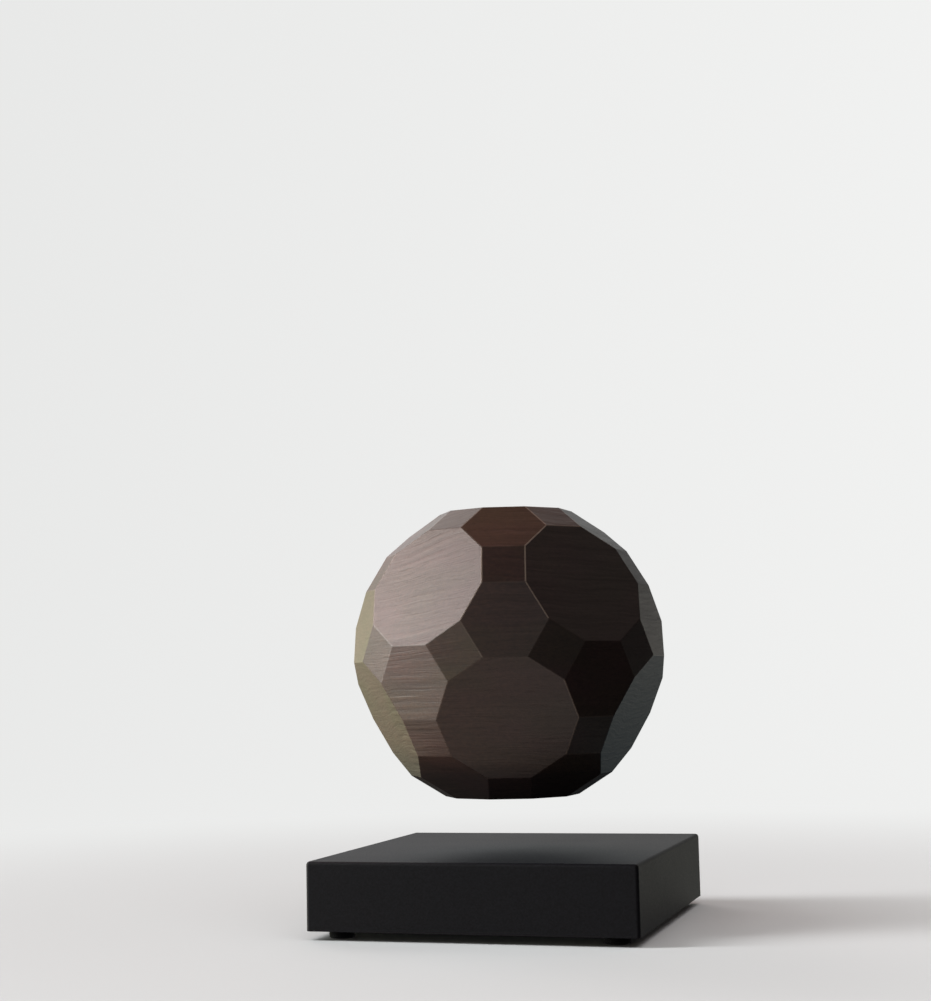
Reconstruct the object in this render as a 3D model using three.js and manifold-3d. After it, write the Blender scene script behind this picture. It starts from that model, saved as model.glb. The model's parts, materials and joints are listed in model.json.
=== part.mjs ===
// Levitating desk ball: a hollow, faceted walnut ball that floats above a magnetic base.
// Millimetres, +Z up. The origin lies on the desk under the centre of the base, and the front faces -Y.
import * as THREE from 'three';
import { mergeVertices } from 'three/addons/utils/BufferGeometryUtils.js';
import Module from 'manifold-3d';

const wasm = await Module();
wasm.setup();

// ---- driving dimensions ----
const BASE_WIDTH = 125;
const BODY_HEIGHT = 25.3;
const FOOT_HEIGHT = 3.3;
const BALL_RADIUS = 61.75; // to the corners of the facets
const BALL_TURN = 14.4; // degrees that the ball stands turned from the base's front
const LEVITATION_GAP = 20; // from the base's top to the ball's lowest facet
const CLEARANCE = 0.3;
const GAP = 0.1; // between two parts where one rests on the other
const OVERLAP = 0.5; // how far joined solids run into each other
const PAST = 1; // how far a cut runs past a face

// ---- base cover and plate ----
const WALL = 2.5;
const EDGE_SOFTENING = 1.2;
const BODY_BOTTOM = FOOT_HEIGHT;
const BODY_TOP = BODY_BOTTOM + BODY_HEIGHT;
const COVER_UNDERSIDE = BODY_TOP - WALL;
const INNER_WIDTH = BASE_WIDTH - 2 * WALL;
const PLATE_WIDTH = INNER_WIDTH - 2 * CLEARANCE;
const PLATE_THICKNESS = 2.4;
const PLATE_RECESS = 0.4;
const PLATE_BOTTOM = BODY_BOTTOM + PLATE_RECESS;
const PLATE_TOP = PLATE_BOTTOM + PLATE_THICKNESS;
const CORNER_INSET = 10.3; // feet and cover screws, from each side of the base
const CORNER = BASE_WIDTH / 2 - CORNER_INSET;
const COVER_POST_RADIUS = 4;
const RIB = { thickness: 1.5, height: 12 };
const FOOT_RADIUS = 4.9;

// ---- magnet carrier and coils ----
const RING_OUTER = 48;
const RING_INNER = 32;
const RING_THICKNESS = 10;
const RIM = 2;
const CARRIER_THICKNESS = 1.6;
const CARRIER_BOTTOM = 13.6;
const CARRIER_TOP = CARRIER_BOTTOM + CARRIER_THICKNESS;
const RIM_TOP = 20;
const CARRIER_POST = { x: 45, y: 40, radius: 3.5 };
const TAB_WIDTH = 9;
const COIL_OFFSET = 15.5;
const COIL_RADIUS = 9.7;
const COIL_HEIGHT = 9.6;
const FLANGE = 1;
const CORE_RADIUS = 3.2;
const CORE_PLAY = 0.2;
const BOBBIN_WALL = 1;
const PILLAR_WIDTH = 6;
const PILLAR_TOP = 20;
const LEAD = { radius: 0.5, offset: 10.9, start: 9.35, startHeight: 4.5, hole: 1 }; // from the coil's axis
const RIBBON = { thickness: 0.5, width: 4, x: -4.2 };

// ---- circuit boards ----
const BOARD_SIZE = { x: 78, y: 112 };
const BOARD_THICKNESS = 1.6;
const BOSS = { x: 33, y: 35, radius: 3, height: 1.9 };
const BOARD_BOTTOM = PLATE_TOP + BOSS.height + GAP;
const BOARD_TOP = BOARD_BOTTOM + BOARD_THICKNESS;
const SOLDER_HEIGHT = 0.1;
const BOARD_SEAT = BOARD_TOP + SOLDER_HEIGHT; // where the parts on the control board stand
const SCREW_HOLE = 1.5;
const SENSOR_BOARD = { width: 10.4, thickness: 1 };
const JACK = { x: 30, width: 9, length: 14.4, height: 11, axisHeight: 6.5, hole: 3.1, holeDepth: 9.5 };
const JACK_RECESS = 0.5;

// ---- ball ----
const GOLDEN = (1 + Math.sqrt(5)) / 2;
const BALL_EDGE = 2 / Math.sqrt(31 + 12 * Math.sqrt(5)); // for a corner radius of 1
const POLE_FACET_DISTANCE = Math.sqrt(1 - (BALL_EDGE * GOLDEN) ** 2); // centre to a ten-sided facet
const BALL_CENTRE = BODY_TOP + LEVITATION_GAP + POLE_FACET_DISTANCE * BALL_RADIUS;
const CAVITY_RADIUS = 49;
const CAVITY_FLOOR = -38; // from the ball's centre, as are the heights below
const POCKET_FLOOR = -52.9;
const POCKET_RADIUS = 22.9;
const MAGNET = { radius: 22.5, thickness: 10 };
const BACK_PLATE_THICKNESS = 2;
const RETAINER = { inner: 14, skirt: 22.5, flange: 30.2, skirtBottom: -40, flangeThickness: 1.6 };
const RETAINER_SCREW_CIRCLE = 26.6;
const SEAM = 0.1;
const TONGUE = { inner: 52.2, outer: 54.8, height: 2.5 };

// ---- materials ----
const material = (color, roughness, metalness = 0) =>
  new THREE.MeshStandardMaterial({ color, roughness, metalness });
const blackPlastic = material(0x26282c, 0.55);
const blackRubber = material(0x121316, 0.85);
const walnut = material(0x3a2a22, 0.45);
const darkPlastic = material(0x1c1c1e, 0.6);
const steel = material(0xb8babd, 0.35, 1);
const nickel = material(0xc4c2bc, 0.25, 1);
const ferrite = material(0x3b3b3e, 0.7);
const copper = material(0xb4622d, 0.35, 1);
const whiteNylon = material(0xe4e2d8, 0.5);
const boardGreen = material(0x1d4a2c, 0.45);
const chipBlack = material(0x17181a, 0.5);
const aluminiumCan = material(0xa9acb0, 0.3, 1);
const brass = material(0xc9a24d, 0.3, 1);

// ---- solids and how they are cut and joined ----
function toSolid(geometry) {
  const bare = geometry.clone();
  bare.deleteAttribute('normal');
  bare.deleteAttribute('uv');
  const merged = mergeVertices(bare, 1e-4);
  const index = merged.index.array;
  const triangles = [];
  for (let i = 0; i < index.length; i += 3) {
    const [a, b, c] = [index[i], index[i + 1], index[i + 2]];
    if (a !== b && b !== c && c !== a) triangles.push(a, b, c);
  }
  return new wasm.Manifold(new wasm.Mesh({
    numProp: 3,
    vertProperties: new Float32Array(merged.attributes.position.array),
    triVerts: new Uint32Array(triangles),
  }));
}

function toGeometry(solid) {
  const mesh = solid.getMesh();
  const shared = new THREE.BufferGeometry();
  shared.setAttribute('position', new THREE.BufferAttribute(new Float32Array(mesh.vertProperties), 3));
  shared.setIndex(new THREE.BufferAttribute(new Uint32Array(mesh.triVerts), 1));
  const geometry = shared.toNonIndexed();
  geometry.computeVertexNormals();
  return geometry;
}

function cut(solid, ...tools) {
  return tools.reduce((rest, tool) => rest.subtract(toSolid(tool)), solid);
}

// A box with its middle at x, y, standing on bottom.
function block(width, depth, height, x, y, bottom) {
  return new THREE.BoxGeometry(width, depth, height).translate(x, y, bottom + height / 2);
}

// An upright cylinder or cone, from bottom to top.
function post(radius, x, y, bottom, top, segments = 12, topRadius = radius) {
  const height = top - bottom;
  return new THREE.CylinderGeometry(topRadius, radius, height, segments)
    .rotateX(Math.PI / 2)
    .translate(x, y, bottom + height / 2);
}

// A turned piece: profile holds [radius, height] points, anticlockwise, and closes on itself or on the axis.
function turned(profile, segments) {
  const points = profile.map(([radius, height]) => new THREE.Vector2(radius, height));
  if (profile[0][0] > 0) points.push(points[0].clone());
  return new THREE.LatheGeometry(points, segments).rotateX(Math.PI / 2);
}

function tube(inner, outer, bottom, top, segments) {
  return turned([[outer, bottom], [outer, top], [inner, top], [inner, bottom]], segments);
}

const object = new THREE.Group();
const ball = new THREE.Group();
ball.position.z = BALL_CENTRE;
object.add(ball);

function addPart(name, geometry, look, parent = object) {
  const mesh = new THREE.Mesh(geometry, look);
  mesh.name = name;
  parent.add(mesh);
  return mesh;
}

// The four corners of a rectangle with its half sizes, with a name for each.
function corners(x, y = x) {
  return [
    ['front_left', -x, -y],
    ['front_right', x, -y],
    ['rear_right', x, y],
    ['rear_left', -x, y],
  ];
}

// A cross-headed screw whose head's outer face looks up at height 0, with its shank below.
function screwGeometry({ headRadius, headHeight, shankRadius, length, countersunk = false }) {
  const neck = countersunk ? shankRadius : headRadius;
  const profile = [
    [0, -length],
    [shankRadius, -length],
    [shankRadius, -headHeight],
    ...(countersunk ? [] : [[neck, -headHeight]]),
    [headRadius, countersunk ? -0.2 : -headHeight * 0.35],
    [countersunk ? headRadius : headRadius * 0.75, 0],
    [0, 0],
  ];
  const slot = [headRadius * 1.1, headRadius * 0.28, headHeight * 0.5];
  return toGeometry(cut(
    toSolid(turned(profile, 12)),
    block(slot[0], slot[1], slot[2] + 1, 0, 0, -slot[2]),
    block(slot[1], slot[0], slot[2] + 1, 0, 0, -slot[2]),
  ));
}

// ---- base: cover, plate, feet and their screws ----
const COVER_SCREW = { headRadius: 2.8, headHeight: 1.6, shankRadius: 1.4, length: 10, countersunk: true };
const COVER_SCREW_DEPTH = 0.1; // its head, below the plate's underside
const PILOT = { radius: 1.35, depth: 8, floor: 0.6 };

function makeCover() {
  const half = BASE_WIDTH / 2 - EDGE_SOFTENING;
  const outline = new THREE.Shape();
  outline.moveTo(-half, -half);
  outline.lineTo(half, -half);
  outline.lineTo(half, half);
  outline.lineTo(-half, half);
  outline.closePath();
  const depth = BODY_HEIGHT;
  const outside = new THREE.ExtrudeGeometry(outline, {
    depth,
    steps: 1,
    bevelEnabled: true,
    bevelThickness: EDGE_SOFTENING,
    bevelSize: EDGE_SOFTENING,
    bevelSegments: 3,
  }).translate(0, 0, BODY_TOP - EDGE_SOFTENING - depth);
  let solid = cut(
    toSolid(outside),
    block(BASE_WIDTH + 2, BASE_WIDTH + 2, BODY_HEIGHT, 0, 0, BODY_BOTTOM - BODY_HEIGHT),
    block(INNER_WIDTH, INNER_WIDTH, BODY_HEIGHT, 0, 0, COVER_UNDERSIDE - BODY_HEIGHT),
  );
  const postBottom = PLATE_TOP + GAP;
  const ribLength = (INNER_WIDTH + WALL) / 2 - CORNER;
  for (const [, x, y] of corners(CORNER)) {
    const ribMiddle = Math.sign(x) * (CORNER + ribLength / 2);
    const ribBottom = COVER_UNDERSIDE - RIB.height;
    const rib = block(ribLength, RIB.thickness, RIB.height + OVERLAP, ribMiddle, y, ribBottom);
    const screwPost = post(COVER_POST_RADIUS, x, y, postBottom, COVER_UNDERSIDE + OVERLAP);
    solid = solid.add(toSolid(screwPost)).add(toSolid(rib));
  }
  const drill = COVER_SCREW.shankRadius + GAP;
  const drillTop = PLATE_BOTTOM + COVER_SCREW.length + 1;
  const pilots = corners(CORNER).map(([, x, y]) => post(drill, x, y, postBottom - PAST, drillTop, 14));
  const inlet = block(
    JACK.width + 2 * CLEARANCE,
    3 * WALL,
    JACK.height + 2 * CLEARANCE,
    JACK.x,
    BASE_WIDTH / 2,
    BOARD_SEAT - CLEARANCE,
  );
  return toGeometry(cut(solid, ...pilots, inlet));
}

function makePlate() {
  let solid = toSolid(block(PLATE_WIDTH, PLATE_WIDTH, PLATE_THICKNESS, 0, 0, PLATE_BOTTOM));
  const holes = [];
  for (const [, x, y] of corners(CARRIER_POST.x, CARRIER_POST.y)) {
    const top = CARRIER_BOTTOM - GAP;
    solid = solid.add(toSolid(post(CARRIER_POST.radius, x, y, PLATE_TOP - OVERLAP, top)));
    holes.push(post(PILOT.radius, x, y, top - PILOT.depth, top + PAST, 10));
  }
  for (const [, x, y] of corners(BOSS.x, BOSS.y)) {
    const top = PLATE_TOP + BOSS.height;
    solid = solid.add(toSolid(post(BOSS.radius, x, y, PLATE_TOP - OVERLAP, top)));
    holes.push(post(PILOT.radius, x, y, PLATE_BOTTOM + PILOT.floor, top + PAST, 10));
  }
  const { headRadius, headHeight, shankRadius } = COVER_SCREW;
  for (const [, x, y] of corners(CORNER)) {
    const mouth = headRadius + CLEARANCE;
    const throat = shankRadius + CLEARANCE;
    const headBottom = PLATE_BOTTOM + COVER_SCREW_DEPTH;
    holes.push(post(throat, x, y, PLATE_BOTTOM - PAST, PLATE_TOP + PAST, 14));
    holes.push(post(mouth, x, y, PLATE_BOTTOM, headBottom + headHeight, 14, throat));
    holes.push(post(mouth, x, y, PLATE_BOTTOM - PAST, headBottom, 14));
  }
  return toGeometry(cut(solid, ...holes));
}

function makeFoot() {
  const top = PLATE_BOTTOM - GAP / 2;
  return turned([
    [0, 0],
    [FOOT_RADIUS - 1.5, 0],
    [FOOT_RADIUS - 0.75, 0.25],
    [FOOT_RADIUS - 0.35, 0.9],
    [FOOT_RADIUS, top],
    [0, top],
  ], 24);
}

addPart('top_cover', makeCover(), blackPlastic);
addPart('bottom_plate', makePlate(), blackPlastic);
for (const [place, x, y] of corners(CORNER)) {
  addPart(`foot_${place}`, makeFoot(), blackRubber).position.set(x, y, 0);
  const screw = addPart(`cover_screw_${place}`, screwGeometry(COVER_SCREW), steel);
  screw.position.set(x, y, PLATE_BOTTOM + COVER_SCREW_DEPTH);
  screw.rotation.x = Math.PI;
}

// ---- base: carrier, ring magnet and coils ----
function makeCarrier() {
  const outer = RING_OUTER + CLEARANCE;
  const inner = RING_INNER - CLEARANCE;
  let solid = toSolid(turned([
    [0, CARRIER_BOTTOM],
    [outer + RIM, CARRIER_BOTTOM],
    [outer + RIM, RIM_TOP],
    [outer, RIM_TOP],
    [outer, CARRIER_TOP],
    [inner, CARRIER_TOP],
    [inner, RIM_TOP],
    [inner - RIM, RIM_TOP],
    [inner - RIM, CARRIER_TOP],
    [0, CARRIER_TOP],
  ], 48));
  const reach = Math.hypot(CARRIER_POST.x, CARRIER_POST.y);
  const tabStart = outer + RIM / 2;
  const tabLength = reach + TAB_WIDTH / 2 - tabStart;
  const holes = [];
  for (const [, x, y] of corners(CARRIER_POST.x, CARRIER_POST.y)) {
    const tab = new THREE.BoxGeometry(tabLength, TAB_WIDTH, CARRIER_THICKNESS)
      .translate(tabStart + tabLength / 2, 0, CARRIER_BOTTOM + CARRIER_THICKNESS / 2)
      .rotateZ(Math.atan2(y, x));
    solid = solid.add(toSolid(tab));
    holes.push(post(SCREW_HOLE, x, y, CARRIER_BOTTOM - PAST, CARRIER_TOP + PAST));
  }
  for (let quarter = 0; quarter < 4; quarter += 1) {
    const leadX = COIL_OFFSET + LEAD.offset;
    holes.push(post(LEAD.hole, leadX, 0, CARRIER_BOTTOM - PAST, CARRIER_TOP + PAST, 8)
      .rotateZ((quarter * Math.PI) / 2));
  }
  const slot = { thickness: RIBBON.thickness + 2 * CLEARANCE, width: RIBBON.width + 2 * CLEARANCE };
  const slotHeight = CARRIER_THICKNESS + 2 * PAST;
  holes.push(block(slot.thickness, slot.width, slotHeight, RIBBON.x, 0, CARRIER_BOTTOM - PAST));
  const pillarHeight = PILLAR_TOP - CARRIER_TOP + OVERLAP;
  const pillar = block(PILLAR_WIDTH, PILLAR_WIDTH, pillarHeight, 0, 0, CARRIER_TOP - OVERLAP);
  return toGeometry(cut(solid.add(toSolid(pillar)), ...holes));
}

addPart('magnet_carrier', makeCarrier(), darkPlastic);
const ringBottom = CARRIER_TOP + GAP;
addPart('ring_magnet', tube(RING_INNER, RING_OUTER, ringBottom, ringBottom + RING_THICKNESS, 48), ferrite);

const PAN_SCREW = { headRadius: 2.3, headHeight: 1.5, shankRadius: 1.2, length: 7.5 };
const BOARD_SCREW = { ...PAN_SCREW, length: 5.2 };
for (const [place, x, y] of corners(CARRIER_POST.x, CARRIER_POST.y)) {
  const screw = addPart(`carrier_screw_${place}`, screwGeometry(PAN_SCREW), steel);
  screw.position.set(x, y, CARRIER_TOP + GAP + PAN_SCREW.headHeight);
}

function makeBobbin() {
  const hole = CORE_RADIUS + CORE_PLAY;
  const neck = hole + BOBBIN_WALL;
  return turned([
    [hole, 0],
    [COIL_RADIUS, 0],
    [COIL_RADIUS, FLANGE],
    [neck, FLANGE],
    [neck, COIL_HEIGHT - FLANGE],
    [COIL_RADIUS, COIL_HEIGHT - FLANGE],
    [COIL_RADIUS, COIL_HEIGHT],
    [hole, COIL_HEIGHT],
  ], 18);
}

function makeWinding() {
  const inner = CORE_RADIUS + CORE_PLAY + BOBBIN_WALL + CLEARANCE;
  const outer = COIL_RADIUS - 2 * CLEARANCE;
  return tube(inner, outer, FLANGE + GAP, COIL_HEIGHT - FLANGE - GAP, 18);
}

// The coil's two wires, in one sleeve, from the winding down through the carrier to the control board.
function makeLead() {
  const boardHeight = BOARD_SEAT - (CARRIER_TOP + GAP);
  const route = new THREE.CatmullRomCurve3([
    new THREE.Vector3(LEAD.start, 0, LEAD.startHeight),
    new THREE.Vector3(LEAD.offset - 0.5, 0, LEAD.startHeight - 0.4),
    new THREE.Vector3(LEAD.offset, 0, LEAD.startHeight - 2),
    new THREE.Vector3(LEAD.offset, 0, 0),
    new THREE.Vector3(LEAD.offset, 0, boardHeight),
  ]);
  const section = new THREE.Shape().absarc(0, 0, LEAD.radius, 0, 2 * Math.PI);
  return new THREE.ExtrudeGeometry(section, { steps: 14, curveSegments: 8, extrudePath: route });
}

['right', 'rear', 'left', 'front'].forEach((place, quarter) => {
  const coil = new THREE.Group();
  coil.rotation.z = quarter * Math.PI / 2;
  const stand = new THREE.Group();
  stand.position.set(COIL_OFFSET, 0, CARRIER_TOP + GAP);
  coil.add(stand);
  object.add(coil);
  addPart(`coil_bobbin_${place}`, makeBobbin(), whiteNylon, stand);
  addPart(`coil_winding_${place}`, makeWinding(), copper, stand);
  addPart(`coil_core_${place}`, post(CORE_RADIUS, 0, 0, 0, COIL_HEIGHT, 14), steel, stand);
  addPart(`coil_lead_${place}`, makeLead(), darkPlastic, stand);
});

// ---- base: sensor board, control board and power inlet ----
const sensorBottom = PILLAR_TOP + GAP;
const sensorBoard = block(SENSOR_BOARD.width, SENSOR_BOARD.width, SENSOR_BOARD.thickness, 0, 0, sensorBottom);
addPart('sensor_board', sensorBoard, boardGreen);

const ribbonHeight = sensorBottom - GAP - BOARD_SEAT;
const ribbon = block(RIBBON.thickness, RIBBON.width, ribbonHeight, RIBBON.x, 0, BOARD_SEAT);
addPart('sensor_ribbon', ribbon, whiteNylon);

const boardHoles = corners(BOSS.x, BOSS.y)
  .map(([, x, y]) => post(SCREW_HOLE, x, y, BOARD_BOTTOM - PAST, BOARD_TOP + PAST));
addPart('control_board', toGeometry(cut(
  toSolid(block(BOARD_SIZE.x, BOARD_SIZE.y, BOARD_THICKNESS, 0, 0, BOARD_BOTTOM)),
  ...boardHoles,
)), boardGreen);
for (const [place, x, y] of corners(BOSS.x, BOSS.y)) {
  const screw = addPart(`board_screw_${place}`, screwGeometry(BOARD_SCREW), steel);
  screw.position.set(x, y, BOARD_TOP + GAP + BOARD_SCREW.headHeight);
}

const sensorSeat = sensorBottom + SENSOR_BOARD.thickness + SOLDER_HEIGHT;
for (const [name, width, depth, height, x, y, seat, look] of [
  ['hall_sensor_x', 1.5, 4, 3, 3.6, -1.2, sensorSeat, chipBlack],
  ['hall_sensor_y', 4, 1.5, 3, -1.6, 3.6, sensorSeat, chipBlack],
  ['hall_sensor_z', 3.2, 4.2, 1.5, -2.6, -2.2, sensorSeat, chipBlack],
  ['controller_chip', 7, 7, 1.2, 6, 8, BOARD_SEAT, chipBlack],
  ['coil_driver_left', 5, 6, 1.6, -14, -12, BOARD_SEAT, chipBlack],
  ['coil_driver_right', 5, 6, 1.6, 14, -12, BOARD_SEAT, chipBlack],
  ['inductor', 8, 8, 5, -30, 50, BOARD_SEAT, ferrite],
]) {
  addPart(name, block(width, depth, height, x, y, seat), look);
}

const CAPACITOR = { radius: 4, height: 10, x: 31, y: -50.5 };
for (const [side, x] of [['left', -CAPACITOR.x], ['right', CAPACITOR.x]]) {
  const can = post(CAPACITOR.radius, x, CAPACITOR.y, BOARD_SEAT, BOARD_SEAT + CAPACITOR.height);
  addPart(`capacitor_${side}`, can, aluminiumCan);
}

const jackFace = BASE_WIDTH / 2 - JACK_RECESS;
const jackAxisHeight = BOARD_SEAT + JACK.axisHeight;

// A cylinder along Y at the inlet's axis, between two distances from its rear face.
function inletCylinder(radius, from, to, segments) {
  return new THREE.CylinderGeometry(radius, radius, to - from, segments)
    .translate(JACK.x, jackFace - (from + to) / 2, jackAxisHeight);
}

addPart('power_inlet', toGeometry(cut(
  toSolid(block(JACK.width, JACK.length, JACK.height, JACK.x, jackFace - JACK.length / 2, BOARD_SEAT)),
  inletCylinder(JACK.hole, -PAST, JACK.holeDepth, 20),
)), darkPlastic);
const PIN = { radius: 1.05, recess: 1 };
addPart('power_inlet_pin', inletCylinder(PIN.radius, PIN.recess, JACK.holeDepth - GAP, 12), brass);

// ---- ball ----
// The 120 corners of a truncated icosidodecahedron, for a corner radius of 1.
function ballCorners() {
  const families = [
    [1 / GOLDEN, 1 / GOLDEN, 3 + GOLDEN],
    [2 / GOLDEN, GOLDEN, 1 + 2 * GOLDEN],
    [1 / GOLDEN, GOLDEN ** 2, 3 * GOLDEN - 1],
    [2 * GOLDEN - 1, 2, 2 + GOLDEN],
    [GOLDEN, 3, 2 * GOLDEN],
  ];
  const found = [];
  for (const family of families) {
    for (let shift = 0; shift < 3; shift += 1) {
      for (let signs = 0; signs < 8; signs += 1) {
        const [x, y, z] = family.map((_, axis) => {
          const size = family[(axis + shift) % 3];
          return signs & (1 << axis) ? -size : size;
        });
        found.push(new THREE.Vector3(x, y, z).normalize());
      }
    }
  }
  return found;
}

// The facets, each with its outward normal and the corners on its rim: a plane through two
// neighbouring edges is a facet when no corner lies outside it.
function findFacets(points) {
  const facets = new Map();
  const near = 1e-4;
  const joined = (a, b) => a !== b && a.distanceTo(b) < BALL_EDGE * 1.02;
  for (const corner of points) {
    const neighbours = points.filter((point) => joined(point, corner));
    for (const first of neighbours) {
      for (const second of neighbours) {
        if (first === second) continue;
        const normal = first.clone().sub(corner).cross(second.clone().sub(corner)).normalize();
        const reach = normal.dot(corner);
        if (points.some((point) => normal.dot(point) > reach + near)) continue;
        const key = normal.toArray().map((value) => Math.round(value * 1000)).join();
        const rim = points.filter((point) => normal.dot(point) > reach - near);
        facets.set(key, { normal, rim });
      }
    }
  }
  return [...facets.values()];
}

// Puts a facet's corners in anticlockwise order, seen from outside.
function inOrder({ normal, rim }) {
  const middle = rim.reduce((sum, point) => sum.add(point), new THREE.Vector3()).divideScalar(rim.length);
  const along = rim[0].clone().sub(middle).normalize();
  const across = new THREE.Vector3().crossVectors(normal, along);
  const angle = (point) => {
    const arm = point.clone().sub(middle);
    return Math.atan2(arm.dot(across), arm.dot(along));
  };
  return [...rim].sort((a, b) => angle(a) - angle(b));
}

// The faceted ball with a ten-sided facet level at its bottom, and another that looks down
// towards the front, BALL_TURN degrees round from it.
function wholeBall() {
  const facets = findFacets(ballCorners());
  const up = new THREE.Vector3(0, 0, 1);
  const tenSided = facets.filter(({ rim }) => rim.length === 10);
  const lean = new THREE.Quaternion().setFromUnitVectors(tenSided[0].normal, up);
  const lookingDown = tenSided
    .map(({ normal }) => normal.clone().applyQuaternion(lean))
    .find(({ z }) => z < 0 && z > -0.9);
  const positions = [];
  for (const facet of facets) {
    const rim = inOrder(facet);
    for (let i = 1; i + 1 < rim.length; i += 1) {
      for (const point of [rim[0], rim[i], rim[i + 1]]) positions.push(...point.toArray());
    }
  }
  const geometry = new THREE.BufferGeometry();
  geometry.setAttribute('position', new THREE.Float32BufferAttribute(positions, 3));
  return toSolid(geometry
    .scale(BALL_RADIUS, BALL_RADIUS, BALL_RADIUS)
    .applyQuaternion(lean)
    .rotateZ(THREE.MathUtils.degToRad(BALL_TURN - 90) - Math.atan2(lookingDown.y, lookingDown.x)));
}

const BALL_SCREW = { headRadius: 2.6, headHeight: 1.6, shankRadius: 1.3, length: 8.5 };
const screwSpots = [0, 1, 2].map((third) => {
  const angle = (third * 2 * Math.PI) / 3 + Math.PI / 2;
  return [RETAINER_SCREW_CIRCLE * Math.cos(angle), RETAINER_SCREW_CIRCLE * Math.sin(angle)];
});
const slab = 2 * BALL_RADIUS + 2;

function makeLowerShell(whole) {
  const cavity = toSolid(new THREE.SphereGeometry(CAVITY_RADIUS, 32, 16).rotateX(Math.PI / 2))
    .subtract(toSolid(block(slab, slab, BALL_RADIUS, 0, 0, CAVITY_FLOOR - BALL_RADIUS)));
  const solid = whole
    .subtract(toSolid(block(slab, slab, slab, 0, 0, -SEAM / 2)))
    .subtract(cavity)
    .add(toSolid(tube(TONGUE.inner, TONGUE.outer, -1, TONGUE.height, 40)));
  const drills = screwSpots.map(([x, y]) =>
    post(BALL_SCREW.shankRadius + GAP, x, y, CAVITY_FLOOR - PILOT.depth, CAVITY_FLOOR + PAST));
  const pocket = post(POCKET_RADIUS, 0, 0, POCKET_FLOOR, CAVITY_FLOOR + PAST, 48);
  return toGeometry(cut(solid, pocket, ...drills));
}

function makeUpperShell(whole) {
  const groove = tube(TONGUE.inner - CLEARANCE, TONGUE.outer + CLEARANCE, -1, TONGUE.height + CLEARANCE, 40);
  return toGeometry(cut(
    whole,
    block(slab, slab, slab, 0, 0, SEAM / 2 - slab),
    new THREE.SphereGeometry(CAVITY_RADIUS, 32, 16).rotateX(Math.PI / 2),
    groove,
  ));
}

function makeRetainer() {
  const { inner, skirt, flange, skirtBottom, flangeThickness } = RETAINER;
  const flangeBottom = CAVITY_FLOOR + GAP;
  const flangeTop = flangeBottom + flangeThickness;
  const ring = turned([
    [inner, skirtBottom],
    [skirt, skirtBottom],
    [skirt, flangeBottom],
    [flange, flangeBottom],
    [flange, flangeTop],
    [inner, flangeTop],
  ], 32);
  const holes = screwSpots.map(([x, y]) =>
    post(BALL_SCREW.shankRadius + CLEARANCE, x, y, flangeBottom - PAST, flangeTop + PAST));
  return toGeometry(cut(toSolid(ring), ...holes));
}

const whole = wholeBall();
addPart('ball_upper_shell', makeUpperShell(whole), walnut, ball);
addPart('ball_lower_shell', makeLowerShell(whole), walnut, ball);
const magnetBottom = POCKET_FLOOR + CLEARANCE;
const magnetTop = magnetBottom + MAGNET.thickness;
addPart('floating_magnet', post(MAGNET.radius, 0, 0, magnetBottom, magnetTop, 48), nickel, ball);
const backPlate = post(MAGNET.radius, 0, 0, magnetTop + GAP, magnetTop + GAP + BACK_PLATE_THICKNESS, 48);
addPart('magnet_back_plate', backPlate, steel, ball);
addPart('magnet_retainer', makeRetainer(), darkPlastic, ball);
screwSpots.forEach(([x, y], third) => {
  const screw = addPart(`retainer_screw_${third + 1}`, screwGeometry(BALL_SCREW), steel, ball);
  screw.position.set(x, y, CAVITY_FLOOR + 2 * GAP + RETAINER.flangeThickness + BALL_SCREW.headHeight);
});

export default object;
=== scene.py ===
"""Levitating faceted walnut ball over a square black magnetic base: the looks around the CAD frame."""

import json
import math

import bmesh
import bpy
from mathutils import Matrix, Vector


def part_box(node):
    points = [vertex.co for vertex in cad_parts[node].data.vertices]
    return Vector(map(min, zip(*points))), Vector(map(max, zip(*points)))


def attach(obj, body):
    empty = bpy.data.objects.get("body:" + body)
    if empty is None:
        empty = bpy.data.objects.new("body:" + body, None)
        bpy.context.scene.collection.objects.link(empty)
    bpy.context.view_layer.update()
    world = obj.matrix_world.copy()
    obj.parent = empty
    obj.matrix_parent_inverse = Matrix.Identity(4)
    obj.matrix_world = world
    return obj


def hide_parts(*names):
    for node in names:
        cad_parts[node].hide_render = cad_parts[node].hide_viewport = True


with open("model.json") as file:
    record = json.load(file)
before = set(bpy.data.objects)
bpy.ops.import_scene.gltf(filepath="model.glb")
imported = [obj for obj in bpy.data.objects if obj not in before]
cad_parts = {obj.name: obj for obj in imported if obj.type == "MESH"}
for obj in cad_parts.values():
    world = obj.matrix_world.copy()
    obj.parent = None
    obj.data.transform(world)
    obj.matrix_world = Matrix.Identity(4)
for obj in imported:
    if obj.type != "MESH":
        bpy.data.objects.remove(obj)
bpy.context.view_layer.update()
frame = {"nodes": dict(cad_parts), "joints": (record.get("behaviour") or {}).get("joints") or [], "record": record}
NODES = frame["nodes"]
JOINTS = {joint["name"]: joint for joint in frame["joints"]}
BALL_CENTRE = Vector(JOINTS["ball_spin"]["pos_m"])
BASE_CENTRE = Vector((0, 0, 0))  # on the floor

MM = 0.001

# ---------------------------------------------------------------- camera
CAMERA_PLACE = Vector((0.1898, -0.6704, 0.0919))
CAMERA_TURN = math.radians(17.12)
CAMERA_RISE = math.radians(6.05)
CAMERA_ROLL = math.radians(1.26)
CAMERA_LENS = 62.8
CAMERA_SENSOR = 36
CAMERA_CLIP = (0.05, 20)


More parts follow.
